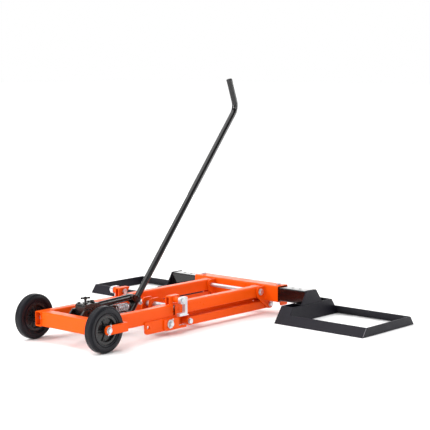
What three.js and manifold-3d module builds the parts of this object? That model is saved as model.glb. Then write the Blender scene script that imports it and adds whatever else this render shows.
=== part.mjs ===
// Hydraulic lift jack for riding mowers: wheeled chassis, parallel lift arms and two sliding wheel trays.
// Millimetres, +X forward (towards the trays), +Y left, +Z up.
// The origin is on the floor under the middle of the part.
import * as THREE from 'three';
import { mergeVertices } from 'three/addons/utils/BufferGeometryUtils.js';
import Module from 'manifold-3d';

const wasm = await Module();
wasm.setup();

// ---------------------------------------------------------------- driving dimensions
const gap = 0.3;                 // between pieces that are welded or seated
const runningGap = 0.8;          // between pieces that slide past each other
const boreClearance = 0.3;       // radial, pins in their holes

const wheelRadius = 76;
const wheelWidth = 32;
const wheelStandOff = 15;        // rail's outer face to the tyre
const tyreDepth = 28.5;
const axleRadius = 8;
const hubBossRadius = 15;
const spokeWindows = 5;
const hubWeb = 2.4;              // left between the windows of the two faces

const railSpacing = 244;         // centre to centre
const railWidth = 30;
const railHeight = 50;
const railBottom = 51.5;
const tubeWall = 3;
const railRearX = -23;
const rearTubeDepth = 40;

const strapHeight = 30;
const strapThickness = 6;
const strapReach = 85;           // ahead of the axle, to the bend

const armPivotX = 385;
const armPivotZ = 85;
const armLength = 433;           // pivot to pivot
const armHeight = 41;
const armSetIn = 2;              // arm centre inside the rail centre
const armWidth = 30;
const armTail = 18;              // behind the rear pivot
const armNose = 8;               // ahead of the front pivot
const armSwingGap = 2.7;
const pivotShaftRadius = 10;
const carriageShaftRadius = 7;
const linkHeight = 28;
const linkWall = 4;
const linkLegRise = 13;          // inner leg above the link's top
const linkLegThickness = 3;
const linkBoltRadius = 6;
const boltHeadRadius = 10;
const pivotRun = 56;             // from an upper pivot to its lower one, along X
const pivotDrop = 52;            // and down

const plateThickness = 6;
const groundClearance = 19;
const pivotPlateRearX = 290;
const pivotPlateFrontX = 462;
const sidePlateRearX = 212;
const sidePlateFrontX = 374;
const sidePlateLap = 10;         // up the rail's outer face
const doublerRearX = 298;
const doublerToeX = 408;
const rollerAxleX = 327;
const rollerAxleZ = 42;
const rollerAxleRadius = 8;
const rollerRadius = 25;
const rollerWidth = 22;
const rollerWasherRadius = 15;

const lugRearX = 342;
const lugFrontX = 394;
const lugSetOut = 5;             // lug's inner face outboard of the rail's inner face
const lugWidth = 20;
const lugRise = 26.5;            // above the arm's top
const lugWall = 4;
const hookPinRadius = 6;
const hookPinX = 368;
const hookPinRise = 12.5;        // above the arm's top
const hookStandOff = 21;         // rail's outer face to the hook
const hookThickness = 13;
const hookBossRadius = 10;
const hookEyeRadius = 12;
const hookBar = 12;
const hookFrontX = 389;
const hookToeX = 350;
const hookDrop = 52;             // pin to the foot's underside

const crossTubeSize = 60;
const crossTubeSpan = 405;
const crossTubeBottom = 50;
const bracketToTube = 22;        // front upper pivot to the cross tube's rear face
const innerTubeSize = 50;
const innerTubeStartY = 100;
const lockPinInset = 18.5;
const lockPinRadius = 5.5;
const holePitch = 33;
const earY = 160;                // forward plates on the carriage tube
const earReach = 46;
const earTopZ = 100;
const earBottomZ = 24;

const trayInnerY = 279;
const trayOuterY = 660;
const trayLength = 315;
const trayRearX = 724.6;
const trayPlate = 5;
const trayWallHeight = 32;
const trayLean = 0.72;           // run per unit of height of the front and rear walls
const trayBeamWidth = 48;
const earTopLength = 56;
const earBottomLength = 130;

const leverRadius = 50;
const leverAngle = THREE.MathUtils.degToRad(22.5); // behind straight down, at rest
const leverRollerRadius = 9;
const leverPinRadius = 5;
const leverInnerHalf = 14;
const armTubeX = 505;
const armTubeDepth = 40;
const armTubeHeight = 30;
const armTubeDrop = 11;          // pivot level to the tube's top

const blockRearX = 52;
const blockFrontX = 123;
const blockTop = 130;
const blockBottom = 50;
const blockHalfWidth = 23;
const bracketHalfWidth = 31;
const jackPinX = 68;
const jackPinZ = 100;
const cylinderRadius = 21;
const cylinderBore = 14;
const ramRadius = 11;
const ramPistonRadius = 13.6;
const ramAxisRearX = 84;
const ramAxisRearZ = 72;
const ramGap = 1;
const padHeight = 36;
const padThickness = 10;
const padHalfWidth = 12;

const pumpBlockX = 184;
const pumpBlockLength = 22;
const barrelLength = 16;
const barrelRadius = 8;
const plungerRadius = 5;
const springRadius = 13.5;
const springWire = 3;
const plungerTipX = 268.5;
const plungerHeadRadius = 13;
const pumpArmRadius = 11;
const pumpArmZ = 115;
const fulcrumX = 288;
const fulcrumZ = 122;
const fulcrumRadius = 5;

const handleFootX = 310.6;       // where the handle axis meets the socket collar
const handleFootZ = 107;
const handleLean = THREE.MathUtils.degToRad(39.5);
const handleRadius = 11;
const handleWall = 2;
const handleLength = 836;
const handleBend = THREE.MathUtils.degToRad(59.7);
const handleTip = 110;
const handleBendRadius = 48;
const socketRadius = 14.5;
const socketClearance = 2.9;     // over the ram
const socketTop = 14;
const collarRadius = 16.5;
const handleEarThickness = 5;
const hornRadius = 5;

// ---------------------------------------------------------------- places worked out from them
const railY = railSpacing / 2;
const railInnerY = railY - railWidth / 2;
const railOuterY = railY + railWidth / 2;
const railTop = railBottom + railHeight;
const armTop = armPivotZ + armHeight / 2;
const lugTop = armTop + lugRise;
const hookPinZ = armTop + hookPinRise;
const armReach = Math.hypot(armTail, armHeight / 2);
const railFrontX = armPivotX - armReach - armSwingGap;
const armInnerY = railY - armSetIn - armWidth / 2;
const armOuterY = armInnerY + armWidth;
const plateInnerY = armInnerY - runningGap - plateThickness;
const plateOuterY = armOuterY + runningGap;
const linkPivotX = armPivotX + pivotRun;
const linkPivotZ = armPivotZ - pivotDrop;
const carriageX = armPivotX + armLength;
const carriageLowX = linkPivotX + armLength;
const crossTubeRearX = carriageX + bracketToTube;
const crossTubeMidX = crossTubeRearX + crossTubeSize / 2;
const crossTubeMidZ = crossTubeBottom + crossTubeSize / 2;
const crossTubeTop = crossTubeBottom + crossTubeSize;
const crossTubeEndY = crossTubeSpan / 2;
const innerTubeBottom = crossTubeMidZ - innerTubeSize / 2;
const innerTubeTop = crossTubeMidZ + innerTubeSize / 2;
const lockPinY = crossTubeEndY - lockPinInset;
const wheelY = railOuterY + wheelStandOff + wheelWidth / 2;
const strapY = wheelY + wheelWidth / 2 + 2;
const trayFrontX = trayRearX + trayLength;
const trayBeamY = trayInnerY + trayBeamWidth;
const lugInnerY = railInnerY + lugSetOut;
const lugOuterY = lugInnerY + lugWidth;
const hookInnerY = railOuterY + hookStandOff;
const hookFootZ = hookPinZ - hookDrop;
const trayBeamHeight = innerTubeBottom + 3;
const armTubeTop = armPivotZ - armTubeDrop;
const leverPinX = armPivotX - leverRadius * Math.sin(leverAngle);
const leverPinZ = armPivotZ - leverRadius * Math.cos(leverAngle);
const padFaceX = leverPinX - leverRollerRadius - ramGap;
const ramTilt = Math.atan2(ramAxisRearZ - leverPinZ, padFaceX - ramAxisRearX);
const cylinderTopAt = (x) => (
  leverPinZ + (padFaceX - x) * Math.tan(ramTilt) + cylinderRadius / Math.cos(ramTilt)
);
const ramTopAt = (x) => (
  leverPinZ + (padFaceX - x) * Math.tan(ramTilt) + ramRadius / Math.cos(ramTilt)
);
const socketLow = ramTopAt(handleFootX - 20) + socketClearance + socketRadius * Math.sin(handleLean);
const socketDepth = (handleFootZ - socketLow) / Math.cos(handleLean);
const springRearX = pumpBlockX + pumpBlockLength + gap;
const pumpAxisZ = cylinderTopAt(springRearX) + gap + springRadius;
const middleX = (trayFrontX - wheelRadius) / 2;

// ---------------------------------------------------------------- shared finishes
const orange = [0xf0510f, 0.35, 0.1];
const blackPaint = [0x2b2a30, 0.5, 0.1];
const tubeBlack = [0x17171a, 0.35, 0.2];
const castBlack = [0x1b1a1c, 0.55, 0.2];
const zinc = [0xc9cdd0, 0.3, 0.9];
const chrome = [0xd8dadc, 0.12, 1];
const rubber = [0x26272a, 0.8, 0];
const plastic = [0x1a1b1d, 0.45, 0];

const model = new THREE.Group();
model.position.x = -middleX;

// ---------------------------------------------------------------- solid helpers
function signedVolume(geometry) {
  const p = geometry.attributes.position;
  const index = geometry.index.array;
  const [a, b, c] = [new THREE.Vector3(), new THREE.Vector3(), new THREE.Vector3()];
  let total = 0;
  for (let i = 0; i < index.length; i += 3) {
    a.fromBufferAttribute(p, index[i]);
    b.fromBufferAttribute(p, index[i + 1]);
    c.fromBufferAttribute(p, index[i + 2]);
    total += a.dot(b.cross(c));
  }
  return total / 6;
}

function welded(geometry) {
  const bare = geometry.clone();
  bare.deleteAttribute('normal');
  bare.deleteAttribute('uv');
  const merged = mergeVertices(bare, 1e-3);
  const kept = [];
  const index = merged.index.array;
  for (let i = 0; i < index.length; i += 3) {
    const [a, b, c] = [index[i], index[i + 1], index[i + 2]];
    if (a !== b && b !== c && c !== a) kept.push(a, b, c);
  }
  merged.setIndex(kept);
  if (signedVolume(merged) < 0) merged.setIndex([...merged.index.array].reverse());
  return merged;
}

function solid(geometry) {
  const merged = welded(geometry);
  const mesh = new wasm.Mesh({
    numProp: 3,
    vertProperties: new Float32Array(merged.attributes.position.array),
    triVerts: new Uint32Array(merged.index.array),
  });
  mesh.merge();
  return new wasm.Manifold(mesh);
}

function geometryOf(manifold) {
  const mesh = manifold.getMesh();
  const geometry = new THREE.BufferGeometry();
  geometry.setAttribute('position', new THREE.BufferAttribute(mesh.vertProperties, 3));
  geometry.setIndex(new THREE.BufferAttribute(mesh.triVerts, 1));
  return geometry;
}

function join(...geometries) {
  return geometryOf(geometries.map(solid).reduce((all, next) => all.add(next)));
}

function cut(geometry, ...tools) {
  return geometryOf(tools.map(solid).reduce((left, tool) => left.subtract(tool), solid(geometry)));
}

function add(name, geometry, [color, roughness, metalness], parent = model) {
  const faceted = geometry.index ? geometry.toNonIndexed() : geometry;
  faceted.computeVertexNormals();
  const mesh = new THREE.Mesh(faceted, new THREE.MeshStandardMaterial({ color, roughness, metalness }));
  mesh.name = name;
  parent.add(mesh);
  return mesh;
}

// ---------------------------------------------------------------- shape helpers
function block(x0, x1, y0, y1, z0, z1) {
  const size = new THREE.BoxGeometry(x1 - x0, Math.abs(y1 - y0), z1 - z0);
  return size.translate((x0 + x1) / 2, (y0 + y1) / 2, (z0 + z1) / 2);
}

// An outline drawn in X and Z, given a thickness along Y between y0 and y1.
function slab(shape, y0, y1, curveSegments = 8) {
  const depth = Math.abs(y1 - y0);
  const geometry = new THREE.ExtrudeGeometry(shape, { depth, bevelEnabled: false, curveSegments });
  return geometry.rotateX(Math.PI / 2).translate(0, Math.max(y0, y1), 0);
}

function rodY(x, z, radius, y0, y1, segments = 24) {
  const rod = new THREE.CylinderGeometry(radius, radius, Math.abs(y1 - y0), segments);
  return rod.translate(x, (y0 + y1) / 2, z);
}

function rodX(x0, x1, y, z, radius, segments = 24) {
  const rod = new THREE.CylinderGeometry(radius, radius, x1 - x0, segments).rotateZ(-Math.PI / 2);
  return rod.translate((x0 + x1) / 2, y, z);
}

function rodZ(x, y, z0, z1, radius, segments = 20) {
  const rod = new THREE.CylinderGeometry(radius, radius, z1 - z0, segments).rotateX(Math.PI / 2);
  return rod.translate(x, y, (z0 + z1) / 2);
}

// A square or rectangular hollow section along Y, or along X.
function tubeY(x0, x1, y0, y1, z0, z1, wall) {
  const hollow = block(x0 + wall, x1 - wall, y0 - 1, y1 + 1, z0 + wall, z1 - wall);
  return cut(block(x0, x1, y0, y1, z0, z1), hollow);
}

function tubeX(x0, x1, y0, y1, z0, z1, wall) {
  const hollow = block(x0 - 1, x1 + 1, y0 + wall, y1 - wall, z0 + wall, z1 - wall);
  return cut(block(x0, x1, y0, y1, z0, z1), hollow);
}

// A closed outline with one corner radius for each corner: [x, z, radius].
function outline(corners) {
  const shape = new THREE.Shape();
  const count = corners.length;
  corners.forEach(([x, z, radius], i) => {
    const here = new THREE.Vector2(x, z);
    const before = new THREE.Vector2(...corners[(i + count - 1) % count].slice(0, 2)).sub(here).normalize();
    const after = new THREE.Vector2(...corners[(i + 1) % count].slice(0, 2)).sub(here).normalize();
    const half = Math.acos(THREE.MathUtils.clamp(before.dot(after), -1, 1)) / 2;
    const reach = radius / Math.tan(half);
    const enter = here.clone().addScaledVector(before, reach);
    const leave = here.clone().addScaledVector(after, reach);
    if (i === 0) shape.moveTo(enter.x, enter.y);
    else shape.lineTo(enter.x, enter.y);
    if (radius > 0) shape.quadraticCurveTo(x, z, leave.x, leave.y);
  });
  shape.closePath();
  return shape;
}

function drill(shape, x, z, radius) {
  const hole = new THREE.Path();
  hole.absarc(x, z, radius, 0, Math.PI * 2, true);
  shape.holes.push(hole);
  return shape;
}

// A bar with round ends about two centres on one level.
function stadium(x0, x1, z, radius) {
  const shape = new THREE.Shape();
  shape.absarc(x0, z, radius, Math.PI / 2, Math.PI * 1.5, false);
  shape.absarc(x1, z, radius, -Math.PI / 2, Math.PI / 2, false);
  return shape;
}

function latheY(profile, x, y, z, segments) {
  const points = profile.map(([radius, along]) => new THREE.Vector2(radius, along));
  return new THREE.LatheGeometry(points, segments).translate(x, y, z);
}

function eachSide(build) {
  build('left', 1);
  build('right', -1);
}

// ---------------------------------------------------------------- chassis
function rails() {
  eachSide((name, side) => {
    const [y0, y1] = [side * railInnerY, side * railOuterY].sort((a, b) => a - b);
    const tube = tubeX(railRearX, railFrontX, y0, y1, railBottom, railTop, tubeWall);
    const axleHole = rodY(0, wheelRadius, axleRadius + boreClearance, y0 - 1, y1 + 1);
    add(`rail_${name}`, cut(tube, axleHole), orange);
  });
  const halfDepth = rearTubeDepth / 2;
  const endY = railInnerY - gap;
  const tube = tubeY(-halfDepth, halfDepth, -endY, endY, railBottom, railTop, tubeWall);
  add('rear_cross_tube', tube, orange);
}

function pivotPlates() {
  const top = railTop - 1;
  const shape = outline([
    [pivotPlateRearX, groundClearance, 14],
    [pivotPlateFrontX, groundClearance, 18],
    [pivotPlateFrontX, linkPivotZ + 24, 10],
    [armPivotX + 34, top, 10],
    [pivotPlateRearX, top, 6],
  ]);
  drill(shape, armPivotX, armPivotZ, pivotShaftRadius + boreClearance);
  drill(shape, linkPivotX, linkPivotZ, linkBoltRadius + boreClearance);
  drill(shape, rollerAxleX, rollerAxleZ, rollerAxleRadius + boreClearance);
  eachSide((name, side) => {
    const outer = plateInnerY + plateThickness;
    const plate = slab(shape, side * plateInnerY, side * outer);
    const shim = block(
      pivotPlateRearX + 2, railFrontX - 4,
      side * (outer - 0.5), side * (railInnerY - gap),
      railBottom + 3, top - 3,
    );
    add(`pivot_plate_${name}`, join(plate, shim), orange);
  });
}

function sidePlates() {
  const base = groundClearance + 1;
  const top = railBottom + sidePlateLap;
  const boreRadius = rollerAxleRadius + boreClearance;
  const thin = outline([
    [sidePlateRearX, base, 12], [sidePlateFrontX, base, 3],
    [sidePlateFrontX, top, 3], [sidePlateRearX, top, 3],
  ]);
  drill(thin, sidePlateRearX + 15, rollerAxleZ + 2, 7);
  drill(thin, rollerAxleX, rollerAxleZ, boreRadius);
  const doubler = outline([
    [doublerRearX, base, 12], [doublerToeX, base, 3], [doublerToeX, base + 8, 3],
    [sidePlateFrontX - 4, base + 8, 3], [sidePlateFrontX - 4, top - 3, 6], [doublerRearX, top - 3, 3],
  ]);
  drill(doubler, rollerAxleX, rollerAxleZ, boreRadius);
  const overlap = 0.5;
  eachSide((name, side) => {
    const start = railOuterY + gap;
    const middle = start + plateThickness;
    const inner = slab(thin, side * start, side * middle);
    const outer = slab(doubler, side * (middle - overlap), side * (middle + plateThickness));
    add(`side_plate_${name}`, join(inner, outer), orange);
  });
}

// An L of flat bar: the long leg carries the axle's end, the short one is welded to the rail.
function wheelStraps() {
  const base = wheelRadius - strapHeight / 2;
  const top = base + strapHeight;
  const face = outline([
    [-strapHeight / 2, base, strapHeight / 2 - 0.5],
    [strapReach, base, 2],
    [strapReach, top, 2],
    [-strapHeight / 2, top, strapHeight / 2 - 0.5],
  ]);
  drill(face, 0, wheelRadius, axleRadius + boreClearance);
  const shortRear = strapReach - strapThickness;
  eachSide((name, side) => {
    const long = slab(face, side * strapY, side * (strapY + strapThickness));
    const short = block(
      shortRear, strapReach, side * (railOuterY + gap), side * (strapY + 1), base + 0.5, top - 0.5,
    );
    add(`wheel_strap_${name}`, join(long, short), orange);
  });
}

// A rod along Y with a split pin through each end.
function axleWithPins(x, z, radius, y0, y1, pinYs) {
  const pins = pinYs.map((y) => rodZ(x, y, z - radius - 7, z + radius + 9, 1.8, 8));
  return join(rodY(x, z, radius, y0, y1), ...pins);
}

function wheels() {
  const axleEnd = strapY + strapThickness + 7;
  const pinY = axleEnd - 3.2;
  add('wheel_axle', axleWithPins(0, wheelRadius, axleRadius, -axleEnd, axleEnd, [-pinY, pinY]), zinc);
  const half = wheelWidth / 2;
  const rim = wheelRadius - tyreDepth;
  const tyreProfile = [
    [rim, -half + 3], [rim + 6, -half + 1], [wheelRadius - 12, -half], [wheelRadius - 4, -half + 2],
    [wheelRadius, -half + 7], [wheelRadius, half - 7], [wheelRadius - 4, half - 2],
    [wheelRadius - 12, half], [rim + 6, half - 1], [rim, half - 3], [rim, -half + 3],
  ];
  const hubRim = rim - gap;
  const bore = axleRadius + boreClearance;
  const innerEnd = wheelY - railOuterY - gap;
  const outerEnd = strapY - wheelY - gap;
  const disc = [
    [bore, -innerEnd], [hubBossRadius, -innerEnd], [hubBossRadius, -4], [hubRim - 8, -4],
    [hubRim - 8, -half + 4], [hubRim, -half + 4], [hubRim, half - 4], [hubRim - 8, half - 4],
    [hubRim - 8, 4], [hubBossRadius, 4], [hubBossRadius, outerEnd], [bore, outerEnd], [bore, -innerEnd],
  ];
  const windows = [];
  for (let i = 0; i < spokeWindows; i += 1) {
    const turn = (i * Math.PI * 2) / spokeWindows;
    const near = hubBossRadius + 4;
    const far = hubRim - 10;
    const half = Math.min(10, (far - near) * 0.7);
    const fillet = half * 0.4;
    const window = outline([
      [near, -half / 5, fillet / 8], [far, -half, fillet], [far, half, fillet], [near, half / 5, fillet / 8],
    ]);
    [-1, 1].forEach((face) => {
      windows.push(slab(window, (face * hubWeb) / 2, (face * wheelWidth) / 2, 3).rotateY(turn));
    });
  }
  eachSide((name, side) => {
    const flip = side > 0 ? 0 : Math.PI;
    const place = (geometry) => geometry.rotateZ(flip).translate(0, side * wheelY, wheelRadius);
    add(`tyre_${name}`, place(welded(latheY(tyreProfile, 0, 0, 0, 40))), rubber);
    const hub = cut(latheY(disc, 0, 0, 0, 40), ...windows.map((geometry) => geometry.clone()));
    add(`wheel_hub_${name}`, place(hub), plastic);
  });
}

function frontRollers() {
  const inner = plateInnerY - runningGap;
  const outerFace = railOuterY + gap + 2 * plateThickness + gap;
  eachSide((name, side) => {
    const rollerFace = inner - rollerWidth;
    const axleInner = rollerFace - 6;
    const axleOuter = outerFace + 11;
    const place = (radius, y0, y1) => rodY(rollerAxleX, rollerAxleZ, radius, side * y0, side * y1);
    const rod = axleWithPins(
      rollerAxleX, rollerAxleZ, rollerAxleRadius, side * axleInner, side * axleOuter, [side * (axleOuter - 4)],
    );
    const washer = place(rollerWasherRadius, outerFace, outerFace + 3);
    const cap = place(rollerAxleRadius + 4, rollerFace - 4, rollerFace - gap);
    add(`roller_axle_${name}`, join(rod, washer, cap), zinc);
    const wheel = cut(
      rodY(rollerAxleX, rollerAxleZ, rollerRadius, side * rollerFace, side * inner, 28),
      place(rollerAxleRadius + boreClearance, rollerFace - 1, inner + 1),
    );
    add(`front_roller_${name}`, wheel, plastic);
  });
}

function hooks() {
  const base = railTop + gap;
  const top = lugTop;
  // The lug's sides stop short of the space that the arm's rear end sweeps as it rises.
  const clearBase = armTop + 3;
  const shape = outline([
    [lugRearX, base, 1], [railFrontX - 1, base, 2], [railFrontX + 3, clearBase, 1],
    [lugFrontX - 19, clearBase, 3], [lugFrontX, clearBase + 19, 1], [lugFrontX, top, 2], [lugRearX, top, 9],
  ]);
  drill(shape, hookPinX, hookPinZ, hookPinRadius + boreClearance);
  const hookOuterY = hookInnerY + hookThickness;
  const profile = outline([
    [hookPinX - hookEyeRadius, hookPinZ + hookEyeRadius, 10],
    [hookPinX - hookEyeRadius, hookPinZ - hookEyeRadius, 10],
    [hookFrontX - hookBar, hookPinZ - hookEyeRadius, 2],
    [hookFrontX - hookBar, hookFootZ + 10, 2],
    [hookToeX, hookFootZ + 10, 1],
    [hookToeX, hookFootZ, 1],
    [hookFrontX, hookFootZ, 4],
    [hookFrontX, hookPinZ + hookEyeRadius, 4],
  ]);
  drill(profile, hookPinX, hookPinZ, hookPinRadius + boreClearance);
  eachSide((name, side) => {
    const shell = slab(shape, side * lugInnerY, side * lugOuterY);
    const inside = block(
      lugRearX - 1, lugFrontX + 1,
      side * (lugInnerY + lugWall), side * (lugOuterY - lugWall),
      base - 1, top - lugWall,
    );
    const place = (radius, y0, y1, segments) => (
      rodY(hookPinX, hookPinZ, radius, side * y0, side * y1, segments)
    );
    const boss = place(hookBossRadius, lugOuterY - 0.5, hookInnerY - gap, 24);
    const bore = place(hookPinRadius + boreClearance, lugOuterY - 2, hookInnerY + 1, 24);
    add(`hook_lug_${name}`, cut(join(cut(shell, inside), boss), bore), orange);

    const shank = place(hookPinRadius, lugInnerY - 6, hookOuterY + 8, 20);
    const head = place(10, lugInnerY - 6, lugInnerY - gap, 6);
    const nut = place(10, hookOuterY + gap, hookOuterY + 7, 6);
    add(`hook_pin_${name}`, join(shank, head, nut), zinc);
    add(`safety_hook_${name}`, slab(profile, side * hookInnerY, side * hookOuterY), zinc);
  });
}

// ---------------------------------------------------------------- lift arms and lower links
function liftArms() {
  const end = armOuterY + 1.5;
  add('arm_pivot_shaft', rodY(armPivotX, armPivotZ, pivotShaftRadius, -end, end), zinc);
  const bore = pivotShaftRadius + boreClearance;
  const [z0, z1] = [armPivotZ - armHeight / 2, armPivotZ + armHeight / 2];
  eachSide((name, side) => {
    const [y0, y1] = [side * armInnerY, side * armOuterY].sort((a, b) => a - b);
    const tube = tubeX(armPivotX - armTail, carriageX + armNose, y0, y1, z0, z1, tubeWall);
    const rearHole = rodY(armPivotX, armPivotZ, bore, y0 - 1, y1 + 1);
    const frontHole = rodY(carriageX, armPivotZ, carriageShaftRadius + boreClearance, y0 - 1, y1 + 1);
    add(`lift_arm_${name}`, cut(tube, rearHole, frontHole), orange);
  });
  const tubeEnd = armInnerY - gap;
  const [rear, front] = [armTubeX - armTubeDepth / 2, armTubeX + armTubeDepth / 2];
  const tube = tubeY(rear, front, -tubeEnd, tubeEnd, armTubeTop - armTubeHeight, armTubeTop, tubeWall);
  add('arm_cross_tube', tube, orange);

  const eye = 13;
  const webRear = rear - 11;
  const ring = 22;
  const cheek = outline([
    [leverPinX - eye, leverPinZ + 4, 9],
    [leverPinX - eye + 3, leverPinZ - eye, 9],
    [leverPinX + eye + 4, leverPinZ - eye, 7],
    [rear - gap, armTubeTop - armTubeHeight, 2],
    [rear - gap, armTubeTop, 2],
    [armPivotX + ring, armPivotZ + ring, 14],
    [armPivotX - ring, armPivotZ + ring, 14],
  ]);
  drill(cheek, armPivotX, armPivotZ, bore);
  drill(cheek, leverPinX, leverPinZ, leverPinRadius + boreClearance);
  const cheeks = [1, -1].map((side) => (
    slab(cheek, side * leverInnerHalf, side * (leverInnerHalf + plateThickness))
  ));
  const webTop = armTubeTop - 2;
  const webHalf = leverInnerHalf + 1;
  const web = block(webRear, rear - gap, -webHalf, webHalf, webTop - armTubeHeight + 4, webTop);
  add('jack_lever', join(...cheeks, web), orange);
  const rollerEnd = leverInnerHalf - gap;
  const pinEnd = leverInnerHalf + plateThickness + 3;
  add('lever_roller', join(
    rodY(leverPinX, leverPinZ, leverRollerRadius, -rollerEnd, rollerEnd),
    rodY(leverPinX, leverPinZ, leverPinRadius, -pinEnd, pinEnd, 16),
  ), zinc);
}

// A bolt along Y: its head outside, a hexagon nut inside.
function boltY(x, z, radius, innerY, outerY, side) {
  return join(
    rodY(x, z, radius, side * (innerY - 8), side * (outerY + 2), 20),
    rodY(x, z, boltHeadRadius, side * (outerY + gap), side * (outerY + 7), 20),
    rodY(x, z, boltHeadRadius, side * (innerY - 7), side * (innerY - gap), 6),
  );
}

function lowerLinks() {
  const radius = linkHeight / 2;
  const shape = stadium(linkPivotX, carriageLowX, linkPivotZ, radius);
  drill(shape, linkPivotX, linkPivotZ, linkBoltRadius + boreClearance);
  drill(shape, carriageLowX, linkPivotZ, linkBoltRadius + 2 * boreClearance);
  eachSide((name, side) => {
    const bar = slab(shape, side * armInnerY, side * armOuterY, 10);
    const pocket = block(
      linkPivotX + 20, carriageLowX - 20, side * (armInnerY - 1), side * (armOuterY - linkWall),
      linkPivotZ - radius + linkWall, linkPivotZ + radius - linkWall,
    );
    const leg = block(
      linkPivotX + 26, carriageLowX - 60, side * armInnerY, side * (armInnerY + linkLegThickness),
      linkPivotZ + radius - 1, linkPivotZ + radius + linkLegRise,
    );
    add(`lower_link_${name}`, join(cut(bar, pocket), leg), orange);
    add(`link_bolt_${name}`, boltY(linkPivotX, linkPivotZ, linkBoltRadius, plateInnerY, armOuterY, side), zinc);
  });
}

// ---------------------------------------------------------------- carriage: cross tube, brackets and trays
function carriage() {
  const rear = crossTubeRearX;
  const front = crossTubeRearX + crossTubeSize;
  const tube = tubeY(rear, front, -crossTubeEndY, crossTubeEndY, crossTubeBottom, crossTubeTop, tubeWall);
  const ear = outline([
    [front - 1, crossTubeBottom + 2, 0], [front + 9, earBottomZ, 4], [front + earReach, earBottomZ, 6],
    [front + earReach - 8, earTopZ, 6], [front - 1, earTopZ, 0],
  ]);
  const ears = [1, -1].map((side) => slab(ear, side * earY, side * (earY + plateThickness)));
  const pinHoles = [1, -1].map((side) => (
    rodZ(crossTubeMidX, side * lockPinY, innerTubeTop + 1, crossTubeTop + 1, lockPinRadius + boreClearance)
  ));
  add('carriage_tube', cut(join(tube, ...ears), ...pinHoles), orange);

  const lobe = 15;
  const eye = 20;
  const under = crossTubeBottom - gap;
  const cheek = outline([
    [carriageX - eye, armPivotZ - 4, 14],
    [carriageX - eye + 5, armPivotZ - eye, 8],
    [carriageLowX - lobe - 2, linkPivotZ - lobe + 4, 8],
    [carriageLowX - lobe + 6, linkPivotZ - lobe, 6],
    [carriageLowX + lobe, linkPivotZ - lobe, 14],
    [carriageLowX + lobe, under, 3],
    [rear - gap, under, 0],
    [rear - gap, armPivotZ + eye, 0.5],
    [carriageX - eye, armPivotZ + eye, 16],
  ]);
  drill(cheek, carriageX, armPivotZ, carriageShaftRadius + boreClearance);
  drill(cheek, carriageLowX, linkPivotZ, linkBoltRadius + boreClearance);
  const face = plateOuterY + plateThickness;
  eachSide((name, side) => {
    const plate = (y) => slab(cheek, side * y, side * (y + plateThickness));
    add(`carriage_plate_inner_${name}`, plate(plateInnerY), orange);
    add(`carriage_plate_outer_${name}`, plate(plateOuterY), orange);
    const bolt = boltY(carriageLowX, linkPivotZ, linkBoltRadius, plateInnerY, face, side);
    add(`carriage_bolt_${name}`, bolt, zinc);

    const tip = innerTubeTop + 0.4;
    const head = crossTubeTop + 7;
    const lockPin = join(
      rodZ(crossTubeMidX, side * lockPinY, tip, head, lockPinRadius, 16),
      rodZ(crossTubeMidX, side * lockPinY, crossTubeTop + gap, head, 9, 20),
    );
    add(`lock_pin_${name}`, lockPin, zinc);
  });
  const shaft = rodY(carriageX, armPivotZ, carriageShaftRadius, -face - 2, face + 2);
  const heads = [1, -1].map((side) => rodY(carriageX, armPivotZ, 13, side * (face + gap), side * (face + 6)));
  add('carriage_shaft', join(shaft, ...heads), zinc);
}

function trays() {
  const lean = (height) => trayLean * height;
  // Side view of the tray between two levels, inset from its leaning end walls.
  const section = (low, high, inset) => outline([
    [trayRearX + inset + lean(low), low, 0],
    [trayFrontX - inset - lean(low), low, 0],
    [trayFrontX - inset - lean(high), high, 0],
    [trayRearX + inset + lean(high), high, 0],
  ]);
  const tubeRear = crossTubeMidX - innerTubeSize / 2;
  const tubeFront = tubeRear + innerTubeSize;
  const plateY = trayBeamY + trayPlate;
  const wellEndY = trayOuterY - trayPlate;
  const earFoot = trayBeamHeight - 6;
  const ear = outline([
    [crossTubeMidX - earBottomLength / 2 + 8, earFoot, 0],
    [crossTubeMidX + earBottomLength / 2 + 8, earFoot, 0],
    [crossTubeMidX + earTopLength / 2 + 4, innerTubeTop + 1, 4],
    [crossTubeMidX - earTopLength / 2 + 4, innerTubeTop + 1, 4],
  ]);
  eachSide((name, side) => {
    const at = (y) => side * y;
    const lowTop = block(
      trayRearX - 1, trayFrontX + 1, at(plateY), at(trayOuterY + 1), trayWallHeight, trayBeamHeight + 1,
    );
    const well = slab(section(-1, trayWallHeight + 1, trayPlate), at(plateY), at(wellEndY));
    const trough = slab(
      section(trayPlate, trayBeamHeight + 1, trayPlate), at(trayInnerY + trayPlate), at(trayBeamY),
    );
    const seat = block(
      tubeRear - 4, tubeFront + 4, at(trayInnerY - 1), at(trayInnerY + trayPlate + 1),
      innerTubeBottom - gap, trayBeamHeight + 1,
    );
    const shell = slab(section(0, trayBeamHeight, 0), at(trayInnerY), at(trayOuterY));
    const pan = cut(shell, lowTop, well, trough, seat);
    add(`tray_${name}`, join(pan, slab(ear, at(trayBeamY), at(plateY))), blackPaint);

    const [y0, y1] = [at(innerTubeStartY), at(trayBeamY - gap)].sort((a, b) => a - b);
    const tube = tubeY(tubeRear, tubeFront, y0, y1, innerTubeBottom, innerTubeTop, tubeWall);
    const holes = [-2, -1, 0, 1, 2, 3].map((step) => {
      const y = at(lockPinY + step * holePitch);
      return rodZ(crossTubeMidX, y, innerTubeTop - 4, innerTubeTop + 1, lockPinRadius + 0.5, 12);
    });
    add(`tray_arm_${name}`, cut(tube, ...holes), tubeBlack);
  });
}

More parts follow.
